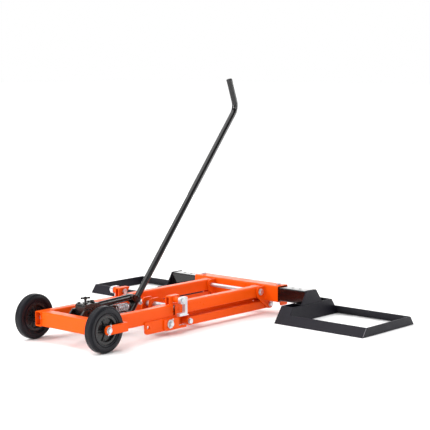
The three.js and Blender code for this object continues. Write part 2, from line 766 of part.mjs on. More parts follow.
// ---------------------------------------------------------------- hydraulic unit
function jackUnit() {
  const face = rearTubeDepth / 2 + gap;
  const cheek = outline([
    [face, railBottom + 8, 2], [jackPinX, jackPinZ - 24, 8], [jackPinX + 30, jackPinZ - 8, 10],
    [jackPinX + 30, jackPinZ + 13, 8], [face + 24, jackPinZ + 13, 6], [face, railTop - 14, 2],
  ]);
  const earInner = bracketHalfWidth - plateThickness;
  const cheeks = [1, -1].map((side) => slab(cheek, side * earInner, side * bracketHalfWidth));
  const foot = block(face, face + 6, -bracketHalfWidth, bracketHalfWidth, railBottom + 8, railTop - 14);
  const pin = rodY(jackPinX, jackPinZ, 7, -bracketHalfWidth - 4, bracketHalfWidth + 4, 20);
  add('jack_bracket', join(...cheeks, foot, pin), castBlack);

  const body = outline([
    [blockRearX, blockBottom + 26, 6], [blockRearX + 22, blockBottom, 8], [blockFrontX, blockBottom, 4],
    [blockFrontX, blockTop, 7], [blockRearX, blockTop, 9],
  ]);
  drill(body, jackPinX, jackPinZ, 7 + boreClearance);
  const plug = rodZ(blockFrontX - 16, 0, blockTop - 1, blockTop + 7, 7, 6);
  const valveBoss = rodZ(jackPinX + 9, 0, blockTop - 1, blockTop + 3, 8, 20);
  add('valve_block', join(slab(body, -blockHalfWidth, blockHalfWidth), plug, valveBoss), castBlack);
  const knobX = jackPinX + 9;
  const knobBase = blockTop + 3 + gap;
  const knob = join(
    rodZ(knobX, 0, knobBase, knobBase + 15, 4, 14),
    rodX(knobX - 17, knobX + 17, 0, knobBase + 14, 3.6, 12).translate(-knobX, 0, 0)
      .rotateZ(THREE.MathUtils.degToRad(-20)).translate(knobX, 0, 0),
    rodZ(knobX, 0, knobBase + 9, knobBase + 19, 6, 14),
  );
  add('release_knob', knob, castBlack);

  // Ram and cylinder share one tilted axis; zero of the local frame is the pad's face.
  const axis = new THREE.Group();
  axis.position.set(padFaceX, 0, leverPinZ);
  axis.rotation.y = ramTilt;
  model.add(axis);
  const cosTilt = Math.cos(ramTilt);
  const cylinderRear = (blockFrontX - padFaceX) / cosTilt + cylinderRadius * Math.tan(ramTilt) + 1;
  const cylinderFront = cylinderRear + 138;
  const barrel = cut(
    join(
      rodX(cylinderRear, cylinderFront, 0, 0, cylinderRadius, 28),
      rodX(cylinderFront - 16, cylinderFront + 6, 0, 0, cylinderRadius - 3, 28),
    ),
    rodX(cylinderRear + 10, cylinderFront - 12, 0, 0, cylinderBore, 24),
    rodX(cylinderRear + 10, cylinderFront + 7, 0, 0, ramRadius + boreClearance, 24),
  );
  add('jack_cylinder', barrel, castBlack, axis);
  const padShift = Math.sin(ramTilt) * padHeight / 2;
  const pad = block(-padThickness, 0, -padHalfWidth, padHalfWidth, -padHeight / 2, padHeight / 2)
    .rotateY(-ramTilt);
  const rod = join(
    rodX(cylinderRear + 16, -padThickness / 2 - padShift / 2, 0, 0, ramRadius, 24),
    rodX(cylinderRear + 14, cylinderRear + 34, 0, 0, ramPistonRadius, 24),
    pad,
  );
  add('ram', rod, chrome, axis);
}

function pumpUnit() {
  const armRear = blockFrontX + gap;
  const rise = Math.atan2(fulcrumZ - pumpArmZ, fulcrumX - armRear);
  const length = Math.hypot(fulcrumX - armRear, fulcrumZ - pumpArmZ);
  const armBar = join(
    rodX(1, length, 0, 0, pumpArmRadius, 20),
    rodY(length, 0, pumpArmRadius, -pumpArmRadius, pumpArmRadius, 20),
  );
  const pinEnd = pumpArmRadius + runningGap + handleEarThickness + 3;
  const pinned = join(armBar, rodY(length, 0, fulcrumRadius, -pinEnd, pinEnd, 16));
  add('pump_arm', pinned.rotateY(-rise).translate(armRear, 0, pumpArmZ), castBlack);

  const blockEnd = pumpBlockX + pumpBlockLength;
  const cylinderTop = cylinderTopAt(pumpBlockX);
  const armUnder = pumpArmZ + (pumpBlockX - armRear) * Math.tan(rise) - pumpArmRadius / Math.cos(rise);
  const barrelEnd = blockEnd + barrelLength;
  const body = join(
    block(pumpBlockX, blockEnd, -14, 14, cylinderTop + gap, armUnder - gap),
    rodX(blockEnd - 1, barrelEnd, 0, pumpAxisZ, barrelRadius, 20),
  );
  const bore = rodX(pumpBlockX + 3, barrelEnd + 1, 0, pumpAxisZ, plungerRadius + boreClearance, 16);
  add('pump_block', cut(body, bore), castBlack);
  const headRear = plungerTipX - 6;
  add('pump_plunger', join(
    rodX(pumpBlockX + 5, plungerTipX - 1, 0, pumpAxisZ, plungerRadius, 16),
    rodX(headRear, plungerTipX, 0, pumpAxisZ, plungerHeadRadius, 20),
  ), zinc);
  const spring = cut(
    rodX(springRearX, headRear - gap, 0, pumpAxisZ, springRadius, 20),
    rodX(springRearX - 1, headRear + 1, 0, pumpAxisZ, springRadius - springWire, 20),
  );
  add('return_spring', spring, zinc);
}

function handle() {
  const foot = new THREE.Group();
  foot.position.set(handleFootX, 0, handleFootZ);
  foot.rotation.y = handleLean;
  model.add(foot);
  const offsetX = fulcrumX - handleFootX;
  const offsetZ = fulcrumZ - handleFootZ;
  const pinX = offsetX * Math.cos(handleLean) - offsetZ * Math.sin(handleLean);
  const pinZ = offsetX * Math.sin(handleLean) + offsetZ * Math.cos(handleLean);
  const earInner = pumpArmRadius + runningGap;
  const earOuter = earInner + handleEarThickness;
  const earShape = outline([
    [pinX - 10, pinZ - 8, 7], [-socketRadius + 6, pinZ - 12, 2],
    [-socketRadius + 6, pinZ + 12, 2], [pinX - 10, pinZ + 8, 7],
  ]);
  drill(earShape, pinX, pinZ, fulcrumRadius + boreClearance);
  const ears = [1, -1].map((side) => slab(earShape, side * earInner, side * earOuter));
  const hornOffsetX = plungerTipX + gap + hornRadius - handleFootX;
  const hornOffsetZ = pumpAxisZ - 1 - handleFootZ;
  const hornX = hornOffsetX * Math.cos(handleLean) - hornOffsetZ * Math.sin(handleLean);
  const hornZ = hornOffsetX * Math.sin(handleLean) + hornOffsetZ * Math.cos(handleLean);
  const body = join(
    rodZ(0, 0, -socketDepth, socketTop, socketRadius, 24),
    rodZ(0, 0, socketTop - 12, socketTop, collarRadius, 24),
    block(-socketRadius + 4, 0, -earOuter, earOuter, pinZ - 9, pinZ + 9),
    ...ears,
    rodY(hornX, hornZ, hornRadius, -8, 8, 16),
    block(hornX, 0, -8, 8, hornZ - hornRadius, hornZ + hornRadius),
  );
  const screwZ = socketTop - 6;
  const bored = cut(
    body,
    rodZ(0, 0, -socketDepth + 4, socketTop + 1, handleRadius + boreClearance, 24),
    rodX(handleRadius, collarRadius + 1, 0, screwZ, 3 + boreClearance, 12),
  );
  add('handle_socket', bored, castBlack, foot);
  const screw = join(
    rodX(handleRadius + gap, collarRadius + 9, 0, screwZ, 3, 12),
    rodX(collarRadius + 4, collarRadius + 11, 0, screwZ, 6, 12),
  );
  add('clamp_screw', screw, zinc, foot);

  const start = -socketDepth + 6;
  const tangent = handleBendRadius * Math.tan(handleBend / 2);
  const bendStart = new THREE.Vector3(0, 0, handleLength - tangent);
  const corner = new THREE.Vector3(0, 0, handleLength);
  const tipDirection = new THREE.Vector3(-Math.sin(handleBend), 0, Math.cos(handleBend));
  const bendEnd = corner.clone().addScaledVector(tipDirection, tangent);
  const tip = corner.clone().addScaledVector(tipDirection, handleTip);
  const bend = new THREE.QuadraticBezierCurve3(bendStart, corner, bendEnd);
  const route = [new THREE.Vector3(0, 0, start), ...bend.getPoints(8), tip];
  const cap = rodZ(0, 0, -1, 4, handleRadius - 1, 20).rotateY(-handleBend).translate(tip.x, 0, tip.z);
  add('handle_tube', join(tubeAlong(route), cap), tubeBlack, foot);
}

// A round hollow tube through a planar list of points, mitred at each point.
function tubeAlong(points) {
  const sides = 20;
  const rings = [handleRadius, handleRadius - handleWall].map((radius) => points.map((point, i) => {
    const before = i > 0 ? point.clone().sub(points[i - 1]).normalize() : null;
    const after = i < points.length - 1 ? points[i + 1].clone().sub(point).normalize() : null;
    const tangent = (before && after) ? before.clone().add(after).normalize() : (before ?? after);
    const across = new THREE.Vector3(0, 1, 0).cross(tangent).normalize();
    const stretch = (before && after) ? 1 / before.dot(tangent) : 1;
    return Array.from({ length: sides }, (_, k) => {
      const turn = (k * Math.PI * 2) / sides;
      return point.clone()
        .addScaledVector(across, Math.cos(turn) * radius * stretch)
        .addScaledVector(new THREE.Vector3(0, 1, 0), Math.sin(turn) * radius);
    });
  }));
  const [outer, inner] = rings;
  const positions = [];
  const quad = (a, b, c, d) => positions.push(...[a, b, c, a, c, d].flatMap((v) => [v.x, v.y, v.z]));
  const last = points.length - 1;
  for (let k = 0; k < sides; k += 1) {
    const n = (k + 1) % sides;
    for (let i = 0; i < last; i += 1) {
      quad(outer[i][k], outer[i][n], outer[i + 1][n], outer[i + 1][k]);
      quad(inner[i][n], inner[i][k], inner[i + 1][k], inner[i + 1][n]);
    }
    quad(outer[0][n], outer[0][k], inner[0][k], inner[0][n]);
    quad(outer[last][k], outer[last][n], inner[last][n], inner[last][k]);
  }
  const geometry = new THREE.BufferGeometry();
  geometry.setAttribute('position', new THREE.Float32BufferAttribute(positions, 3));
  return welded(geometry);
}

rails();
pivotPlates();
sidePlates();
wheelStraps();
wheels();
frontRollers();
hooks();
liftArms();
lowerLinks();
carriage();
trays();
jackUnit();
pumpUnit();
handle();

export default model;
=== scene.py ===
import math

import bmesh
import bpy
from mathutils import Matrix, Vector


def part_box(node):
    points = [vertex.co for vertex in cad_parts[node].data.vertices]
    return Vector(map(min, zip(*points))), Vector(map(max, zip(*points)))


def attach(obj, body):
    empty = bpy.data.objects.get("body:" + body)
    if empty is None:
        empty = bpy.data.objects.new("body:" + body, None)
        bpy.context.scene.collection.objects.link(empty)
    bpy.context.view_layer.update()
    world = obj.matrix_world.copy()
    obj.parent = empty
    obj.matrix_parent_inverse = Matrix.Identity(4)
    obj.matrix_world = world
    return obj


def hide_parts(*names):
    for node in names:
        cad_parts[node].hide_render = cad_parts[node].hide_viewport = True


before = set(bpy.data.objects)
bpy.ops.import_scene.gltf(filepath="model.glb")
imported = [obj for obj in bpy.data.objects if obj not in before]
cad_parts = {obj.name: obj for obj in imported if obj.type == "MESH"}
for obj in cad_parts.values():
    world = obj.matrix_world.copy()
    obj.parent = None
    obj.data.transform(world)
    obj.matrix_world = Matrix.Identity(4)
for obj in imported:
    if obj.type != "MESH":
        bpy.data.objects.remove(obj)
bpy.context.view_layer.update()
MM = 0.001
SIDES = (("left", 1), ("right", -1))
X_AXIS, Y_AXIS, Z_AXIS = Vector((1, 0, 0)), Vector((0, 1, 0)), Vector((0, 0, 1))


# ---------------------------------------------------------------- finishes
def node(tree, kind, **settings):
    made = tree.nodes.new(kind)
    for key, value in settings.items():
        made.inputs[key].default_value = value
    return made


def surface(name, colour, roughness, metallic=0.0, coat=0.0, sheen=0.5, patch=5.0, spread=0.08,
            rough_spread=0.08, grain=700.0, depth=0.02, stretch=(1, 1, 1)):
    """Paint, plating, rubber or plastic: slow colour drift, uneven gloss and a fine surface grain."""
    material = bpy.data.materials.new(name)
    material.use_nodes = True
    tree = material.node_tree
    shader = tree.nodes["Principled BSDF"]
    shader.inputs["Metallic"].default_value = metallic
    shader.inputs["Specular IOR Level"].default_value = sheen
    shader.inputs["Coat Weight"].default_value = coat
    shader.inputs["Coat Roughness"].default_value = 0.12
    place = tree.nodes.new("ShaderNodeTexCoord")
    drift = node(tree, "ShaderNodeTexNoise", Scale=patch, Detail=4.0, Roughness=0.6)
    tree.links.new(place.outputs["Object"], drift.inputs["Vector"])
    tint = tree.nodes.new("ShaderNodeMix")
    tint.data_type = "RGBA"
    tint.inputs[6].default_value = (*[c * (1 - spread) for c in colour], 1)
    tint.inputs[7].default_value = (*[min(1, c * (1 + spread)) for c in colour], 1)
    tree.links.new(drift.outputs["Fac"], tint.inputs[0])
    tree.links.new(tint.outputs[2], shader.inputs["Base Color"])
    smear = node(tree, "ShaderNodeTexNoise", Scale=patch * 6, Detail=5.0, Roughness=0.65)
    tree.links.new(place.outputs["Object"], smear.inputs["Vector"])
    gloss = node(tree, "ShaderNodeMapRange")
    gloss.inputs["From Min"].default_value = 0.3
    gloss.inputs["From Max"].default_value = 0.7
    gloss.inputs["To Min"].default_value = max(0.02, roughness - rough_spread)
    gloss.inputs["To Max"].default_value = min(1.0, roughness + rough_spread)
    tree.links.new(smear.outputs["Fac"], gloss.inputs["Value"])
    tree.links.new(gloss.outputs["Result"], shader.inputs["Roughness"])
    scaled = node(tree, "ShaderNodeMapping", Scale=stretch)
    tree.links.new(place.outputs["Object"], scaled.inputs["Vector"])
    fine = node(tree, "ShaderNodeTexNoise", Scale=grain, Detail=3.0)
    tree.links.new(scaled.outputs["Vector"], fine.inputs["Vector"])
    bump = node(tree, "ShaderNodeBump", Strength=depth, Distance=0.001)
    tree.links.new(fine.outputs["Fac"], bump.inputs["Height"])
    tree.links.new(bump.outputs["Normal"], shader.inputs["Normal"])
    return material


FINISH = {
    "orange_coat": surface("orange_powder_coat", (0.8, 0.082, 0.002), 0.34, sheen=0.12,
                           grain=420.0, depth=0.1, spread=0.05),
    "zinc": surface("bright_zinc", (0.6, 0.62, 0.65), 0.34, metallic=0.85, patch=30.0, spread=0.1,
                    grain=500.0, depth=0.03, stretch=(1, 1, 4)),
    "tyre": surface("tyre_rubber", (0.006, 0.006, 0.009), 0.36, sheen=0.22, patch=14.0, spread=0.25,
                    grain=1100.0, depth=0.25),
    "hub": surface("moulded_hub", (0.008, 0.008, 0.009), 0.3, sheen=0.45, patch=20.0, spread=0.2,
                   grain=1400.0, depth=0.12),
    "tray_coat": surface("charcoal_powder_coat", (0.0062, 0.0054, 0.0098), 0.42, sheen=0.17, patch=7.0,
                         spread=0.2, grain=600.0, depth=0.3),
    "black_gloss": surface("black_paint", (0.004, 0.0035, 0.004), 0.13, sheen=0.5, patch=9.0,
                           spread=0.2, rough_spread=0.05, grain=500.0, depth=0.06),
    "black_cast": surface("black_casting", (0.006, 0.005, 0.005), 0.24, sheen=0.45, patch=25.0,
                          spread=0.25, grain=330.0, depth=0.14),
    "chrome": surface("ram_chrome", (0.72, 0.73, 0.75), 0.1, metallic=1.0, rough_spread=0.04,
                      grain=1500.0, depth=0.02, stretch=(12, 1, 1)),
}
# Lighter grey for thin lines on the tray's corner mitres: a painted highlight, standing for the light those
# corners catch.
PAINTED_HIGHLIGHT_SEAM = surface("tray_seam_painted_highlight", (0.17, 0.165, 0.18), 0.4, patch=60.0, spread=0.35, grain=700.0,
                    depth=0.2)


# ---------------------------------------------------------------- pieces
def piece(name, bm, body, slot, *stands_for, bevel=0.0, segments=2, sharp=38, material=None):
    """Turns a finished shape into an object that rides on a body."""
    bmesh.ops.recalc_face_normals(bm, faces=bm.faces)
    for face in bm.faces:
        face.smooth = True
    for edge in bm.edges:
        if len(edge.link_faces) == 2 and edge.calc_face_angle(0) > math.radians(sharp):
            edge.smooth = False
    mesh = bpy.data.meshes.new(name)
    bm.to_mesh(mesh)
    bm.free()
    mesh.materials.append(material or FINISH[slot])
    made = bpy.data.objects.new(name, mesh)
    bpy.context.scene.collection.objects.link(made)
    if bevel:
        edge_bevel = made.modifiers.new("edges", "BEVEL")
        edge_bevel.width = bevel
        edge_bevel.segments = segments
        edge_bevel.limit_method = "ANGLE"
        edge_bevel.angle_limit = math.radians(sharp)
        edge_bevel.harden_normals = True
    else:
        flat = made.modifiers.new("flat_faces", "WEIGHTED_NORMAL")
        flat.keep_sharp = True
    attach(made, body)
    if stands_for:
        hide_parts(*stands_for)
    return made


def refined(cad_node, body, slot, bevel=0.0008, segments=2, sharp=32):
    """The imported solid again, with its flat faces whole and its edges rounded."""
    bm = bmesh.new()
    bm.from_mesh(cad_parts[cad_node].data)
    bmesh.ops.remove_doubles(bm, verts=bm.verts, dist=2e-6)
    bmesh.ops.dissolve_limit(bm, angle_limit=math.radians(0.6), verts=bm.verts, edges=bm.edges)
    return piece(f"{cad_node}_body", bm, body, slot, cad_node, bevel=bevel, segments=segments, sharp=sharp)


def joined(made, bm=None):
    """The finished shape on its own, or added to the other shapes of its piece."""
    if bm is None:
        return made
    mesh = bpy.data.meshes.new("joining")
    made.to_mesh(mesh)
    made.free()
    bm.from_mesh(mesh)
    bpy.data.meshes.remove(mesh)
    return bm


def set_on(made, centre, axis, bm):
    """Turns a shape that was built up along Z onto an axis, and joins it to its piece."""
    place = Matrix.Translation(centre) @ axis.normalized().to_track_quat("Z", "X").to_matrix().to_4x4()
    bmesh.ops.transform(made, matrix=place, verts=made.verts)
    return joined(made, bm)


def new_verts(grown):
    return [part for part in grown if isinstance(part, bmesh.types.BMVert)]


def raised(bm, ring):
    """The next ring of an open wall: its edges and corners, still lying on the last ring."""
    grown = bmesh.ops.extrude_edge_only(bm, edges=ring)["geom"]
    verts = new_verts(grown)
    fresh = set(verts)
    edges = [part for part in grown if isinstance(part, bmesh.types.BMEdge) and fresh.issuperset(part.verts)]
    return edges, verts


def square_tube(low, high, along, wall=3 * MM, radius=5 * MM):
    """A hollow section with rounded corners and open ends, filling a box along X or Y."""
    bm = bmesh.new()
    size = high - low
    width, length = (size.y, size.x) if along == "X" else (size.x, size.y)
    lip = 0.5 * MM
    end = length / 2
    bore = max(radius - wall, 1 * MM)

    bmesh.ops.create_grid(bm, x_segments=1, y_segments=1, size=0.5)
    bmesh.ops.scale(bm, vec=(width, size.z, 1), verts=bm.verts)
    bmesh.ops.translate(bm, vec=(0, 0, lip - end), verts=bm.verts)
    bmesh.ops.bevel(bm, geom=bm.verts[:], offset=radius, offset_type="OFFSET", segments=5, profile=0.5,
                    affect="VERTICES", material=-1)
    ring = bm.edges[:]
    bmesh.ops.delete(bm, geom=bm.faces[:], context="FACES_ONLY")

    def corner_centre(spot, inset, corner):
        return Vector((math.copysign(width / 2 - inset - corner, spot.x),
                       math.copysign(size.z / 2 - inset - corner, spot.y)))

    # The wall is drawn along the outside, over the lip, back through the bore and onto its first ring.
    last_inset, last_corner = 0, radius
    for inset, corner, height in ((0, radius, end - lip), (lip, radius - lip, end), (wall, bore, end),
                                  (wall, bore, -end), (lip, radius - lip, -end), (0, radius, lip - end)):
        ring, verts = raised(bm, ring)
        for vert in verts:
            from_centre = vert.co.xy - corner_centre(vert.co, last_inset, last_corner)
            moved = corner_centre(vert.co, inset, corner) + from_centre * (corner / last_corner)
            vert.co = (moved.x, moved.y, height)
        last_inset, last_corner = inset, corner
    bmesh.ops.remove_doubles(bm, verts=bm.verts, dist=1e-6)
    columns = (Y_AXIS, Z_AXIS, X_AXIS) if along == "X" else (X_AXIS, Z_AXIS, -Y_AXIS)
    place = Matrix.Translation((low + high) / 2) @ Matrix(columns).transposed().to_4x4()
    bmesh.ops.transform(bm, matrix=place, verts=bm.verts)
    return bm


def turned(profile, centre, axis, segments=40, bm=None):
    """A turned solid: (radius, distance along the axis) pairs that start and end on the axis or meet."""
    made = bmesh.new()
    points = [made.verts.new((radius, 0, along)) for radius, along in profile]
    line = [made.edges.new(pair) for pair in zip(points, points[1:])]
    bmesh.ops.spin(made, geom=points + line, cent=(0, 0, 0), axis=Z_AXIS, angle=2 * math.pi,
                   steps=segments, use_merge=True)
    bmesh.ops.remove_doubles(made, verts=made.verts, dist=1e-6)
    return set_on(made, centre, axis, bm)


def rod(start, end, radius, chamfer=0.6 * MM, segments=28, bm=None):
    length = (end - start).length
    chamfer = min(chamfer, radius * 0.5, length * 0.4)
    profile = [
        (0, 0), (radius - chamfer, 0), (radius, chamfer), (radius, length - chamfer),
        (radius - chamfer, length), (0, length),
    ]
    return turned(profile, start, end - start, segments, bm)


def washer(centre, axis, inner, outer, thickness, bm=None):
    c = 0.25 * MM
    profile = [
        (inner, 0), (outer - c, 0), (outer, c), (outer, thickness - c), (outer - c, thickness),
        (inner, thickness), (inner, 0),
    ]
    return turned(profile, centre, axis, 36, bm)


def hexagon(centre, axis, across, height, bm=None, dished=True):
    """A bolt head or nut whose corners are turned off at its outer face."""
    made = bmesh.new()
    flat, corner = across / 2, across / math.sqrt(3)
    bmesh.ops.create_circle(made, radius=corner, segments=6)
    bmesh.ops.subdivide_edges(made, edges=made.edges, cuts=5)
    drop = 0.09 * across
    ring, shoulder = raised(made, made.edges[:])
    for vert in shoulder:
        over = (vert.co.length - flat) / (corner - flat)
        vert.co.z = height - drop * over - 0.15 * drop
    dish = 0.2 * MM if dished else 0
    for radius, level in ((0.94 * flat, height), (0.3 * flat, height - dish)):
        ring, verts = raised(made, ring)
        for vert in verts:
            vert.co = vert.co.xy.normalized().to_3d() * radius + Z_AXIS * level
    bmesh.ops.holes_fill(made, edges=made.edges, sides=0)
    return set_on(made, centre, axis, bm)


def swept(points, radius, sides=12, bm=None, ripple=0.0):
    """A round wire, rod or bead through a list of points."""
    made = bmesh.new()
    verts = bmesh.ops.create_circle(made, radius=1, segments=sides)["verts"]
    ring = made.edges[:]
    tangents = [(b - a).normalized() for a, b in zip(points[:1] + points, points[1:] + points[-1:])]
    side = tangents[0].cross(Z_AXIS if abs(tangents[0].z) < 0.9 else X_AXIS)
    before = Matrix.Identity(4)
    for i, (point, tangent) in enumerate(zip(points, tangents)):
        side = (side - tangent * side.dot(tangent)).normalized()
        thick = radius * (1 + ripple * math.sin(i * 2.1))
        facing = Matrix((side, tangent.cross(side), tangent)).transposed().to_4x4()
        place = Matrix.Translation(point) @ facing @ Matrix.Diagonal((thick, thick, 1, 1))
        if i:
            ring, verts = raised(made, ring)
        bmesh.ops.transform(made, matrix=place @ before.inverted(), verts=verts)
        before = place
    bmesh.ops.holes_fill(made, edges=made.edges, sides=0)
    return joined(made, bm)


def bead(points, radius=2.2 * MM, bm=None):
    """A weld bead laid along straight runs, with its ripples."""
    fine = []
    for a, b in zip(points, points[1:]):
        steps = max(2, int((b - a).length / (1.6 * MM)))
        fine += [a.lerp(b, i / steps) for i in range(steps)]
    fine.append(points[-1])
    return swept(fine, radius, 8, bm, ripple=0.14)


def split_pin(centre, axis, reach, bm=None):
    """Both legs of a split pin through a shaft, its eye at one end and its spread tips at the other."""
    wire = 1.2 * MM
    along = axis.normalized()
    across = Vector((1, 0, 0)) if abs(along.x) < 0.9 else Vector((0, 1, 0))
    points = []
    eye = 3.6 * MM
    for i in range(13):
        a = math.radians(-60 + 300 * i / 12)
        points.append(centre + along * (reach + eye - eye * math.cos(a) * 0.95 + eye * 0.1)
                      + across * eye * math.sin(a))
    left = [centre + across * -wire + along * s for s in (reach * 0.9, 0, -reach)]
    left.append(centre + across * -4 * MM + along * -(reach + 5 * MM))
    right = [centre + across * wire + along * s for s in (reach * 0.9, 0, -reach)]
    right.append(centre + across * 5 * MM + along * -(reach + 4 * MM))
    bm = swept(points, wire, 8, bm)
    swept(left, wire, 8, bm)
    return swept(right, wire, 8, bm)


def middle(cad_node):
    low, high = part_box(cad_node)
    return (low + high) / 2


# ---------------------------------------------------------------- chassis
def chassis_tubes():
    for name, _ in SIDES:
        low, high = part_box(f"rail_{name}")
        piece(f"rail_{name}_tube", square_tube(low, high, "X"), "chassis", "orange_coat", f"rail_{name}")
        arm_low, arm_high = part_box(f"lift_arm_{name}")
        piece(f"lift_arm_{name}_tube", square_tube(arm_low, arm_high, "X", radius=4.5 * MM),
              "arms", "orange_coat", f"lift_arm_{name}")
    low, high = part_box("rear_cross_tube")
    piece("rear_cross_section", square_tube(low, high, "Y"), "chassis", "orange_coat", "rear_cross_tube")
    low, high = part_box("arm_cross_tube")
    piece("arm_cross_section", square_tube(low, high, "Y", radius=3.5 * MM), "arms", "orange_coat",
          "arm_cross_tube")


def chassis_plates():
    for name, _ in SIDES:
        refined(f"pivot_plate_{name}", "chassis", "orange_coat")
        refined(f"side_plate_{name}", "chassis", "orange_coat", 1.0 * MM)
        refined(f"wheel_strap_{name}", "chassis", "orange_coat", 1.2 * MM)
        refined(f"hook_lug_{name}", "chassis", "orange_coat", 1.0 * MM)
        refined(f"lower_link_{name}", "links", "orange_coat", 1.6 * MM, 3)
        refined(f"safety_hook_{name}", f"{name}_hook", "zinc", 1.2 * MM, 3)


def chassis_welds():
    rear_low, rear_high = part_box("rear_cross_tube")
    for name, side in SIDES:
        end_y = side * (rear_high.y - 1.0 * MM)
        bm = bead([Vector((rear_high.x, end_y, rear_low.z + 4 * MM)),
                   Vector((rear_high.x, end_y, rear_high.z - 4 * MM))])
        bead([Vector((rear_low.x + 5 * MM, end_y, rear_high.z - 0.4 * MM)),
              Vector((rear_high.x - 5 * MM, end_y, rear_high.z - 0.4 * MM))], 1.8 * MM, bm)
        plate_low, plate_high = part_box(f"side_plate_{name}")
        rail_low, rail_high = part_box(f"rail_{name}")
        face = (rail_high.y if side > 0 else rail_low.y) + side * 0.6 * MM
        stitch = 26 * MM
        for start in (6, 62, 122):
            x = plate_low.x + start * MM
            bead([Vector((x, face, plate_high.z + 0.4 * MM)),
                  Vector((x + stitch, face, plate_high.z + 0.4 * MM))], 2.0 * MM, bm)
        strap_low, strap_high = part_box(f"wheel_strap_{name}")
        x = strap_high.x + 0.5 * MM
        bead([Vector((x, face, strap_low.z + 3 * MM)), Vector((x, face, strap_high.z - 3 * MM))], 2.2 * MM, bm)
        lug_low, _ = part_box(f"hook_lug_{name}")
        outer = (rail_high.y if side > 0 else rail_low.y) - side * 4.0 * MM
        bead([Vector((lug_low.x + 3 * MM, outer, lug_low.z)),
              Vector((lug_low.x + 36 * MM, outer, lug_low.z))], 2.0 * MM, bm)
        boss = middle(f"hook_pin_{name}")
        boss_y = outer + side * 0.4 * MM
        boss_radius = 10.5 * MM
        round_boss = [2 * math.pi * i / 24 for i in range(25)]
        bead([Vector((boss.x + boss_radius * math.cos(a), boss_y, boss.z + boss_radius * math.sin(a)))
              for a in round_boss], 1.5 * MM, bm)
        piece(f"chassis_welds_{name}", bm, "chassis", "orange_coat", sharp=80)


# ---------------------------------------------------------------- wheels
def tyre(name):
    low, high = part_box(f"tyre_{name}")
    centre = (low + high) / 2
    outer, half = (high.x - low.x) / 2, (high.y - low.y) / 2
    rim = outer - 28.5 * MM
    wall = [
        (rim, -half + 3 * MM), (rim + 1.5 * MM, -half + 1.4 * MM), (rim + 5 * MM, -half + 1.0 * MM),
        (rim + 6 * MM, -half + 3.4 * MM), (rim + 7.4 * MM, -half + 3.4 * MM),
        (rim + 8.6 * MM, -half + 0.8 * MM),
        (rim + 14 * MM, -half), (rim + 18 * MM, -half + 0.1 * MM), (rim + 20.5 * MM, -half + 0.8 * MM),
        (rim + 21 * MM, -half + 2.8 * MM), (rim + 22 * MM, -half + 2.8 * MM),
        (rim + 22.6 * MM, -half + 1.7 * MM),
        (rim + 24 * MM, -half + 2.2 * MM), (outer - 2 * MM, -half + 4.2 * MM),
        (outer - 0.7 * MM, -half + 6 * MM),
    ]
    groove = ((-1.6, 0), (-0.7, 0.1), (-0.35, 1.5), (0.35, 1.5), (0.7, 0.1), (1.6, 0))
    tread = [(outer - depth * MM, (middle_line + across) * MM)
             for middle_line in (-7.5, -2.5, 2.5, 7.5) for across, depth in groove]
    mirrored = [(r, -z) for r, z in reversed(wall)]
    profile = wall + tread + mirrored
    profile.append(profile[0])
    segments = 180
    bm = turned(profile, centre, Y_AXIS, segments)
    # Every third step of the tread lies a little lower, which makes its fine cross blocks.
    for vert in bm.verts:
        flat = vert.co - centre
        r = math.hypot(flat.x, flat.z)
        if r > outer - 0.3 * MM:
            step = round(math.atan2(flat.z, flat.x) / (2 * math.pi) * segments) % 3
            if step == 0:
                scale = (r - 0.45 * MM) / r
                vert.co.x = centre.x + flat.x * scale
                vert.co.z = centre.z + flat.z * scale
    piece(f"tyre_{name}_rubber", bm, f"{name}_wheel", "tyre", f"tyre_{name}", sharp=50)


def rib(face):
    """A tapered rib for the middle of a spoke, proud of the disc on one face."""
    made = bmesh.new()
    bmesh.ops.create_cube(made, size=2)
    for vert in made.verts:
        at_rim, on_crest = vert.co.x > 0, vert.co.y > 0
        reach, half_width = (38.8 * MM, 4.5 * MM) if at_rim else (15.4 * MM, 2.0 * MM)
        height = 3.6 * MM
        if on_crest:
            half_width *= 0.6 if at_rim else 0.5
            height = 6.0 * MM if at_rim else 9.0 * MM
        vert.co = (reach, face * height, vert.co.z * half_width)
    return made


def hub(name, side):
    refined(f"wheel_hub_{name}", f"{name}_wheel", "hub", 0.9 * MM, 3, sharp=30)
    centre = middle(f"tyre_{name}")
    bm = bmesh.new()
    spokes = 5
    for i in range(spokes):
        turn = Matrix.Rotation(2 * math.pi * (i + 0.5) / spokes, 4, "Y")
        for face in (1, -1):
            made = rib(face)
            bmesh.ops.transform(made, matrix=Matrix.Translation(centre) @ turn, verts=made.verts)
            joined(made, bm)
    piece(f"hub_ribs_{name}", bm, f"{name}_wheel", "hub", bevel=0.7 * MM)
    low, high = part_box(f"wheel_hub_{name}")
    outer_face = high.y if side > 0 else low.y
    ring = washer(Vector((centre.x, outer_face - side * 1.6 * MM, centre.z)), Y_AXIS * side,
                  8.6 * MM, 14.2 * MM, 1.4 * MM)
    piece(f"hub_washer_{name}", ring, f"{name}_wheel", "zinc")


def wheel_axle():
    low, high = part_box("wheel_axle")
    x = (low.x + high.x) / 2
    height = 76 * MM
    strap_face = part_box("wheel_strap_left")[1].y
    bm = rod(Vector((x, low.y, height)), Vector((x, high.y, height)), 8 * MM, 1.2 * MM)
    for side in (1, -1):
        y = side * (high.y - 3.4 * MM)
        split_pin(Vector((x, y, height)), Vector((0.2, 0, 0.98)), 10.5 * MM, bm)
        washer(Vector((x, side * (strap_face + 0.3 * MM), height)), Y_AXIS * side,
               8.2 * MM, 11.5 * MM, 1.5 * MM, bm)
    piece("wheel_axle_rod", bm, "chassis", "zinc", "wheel_axle")


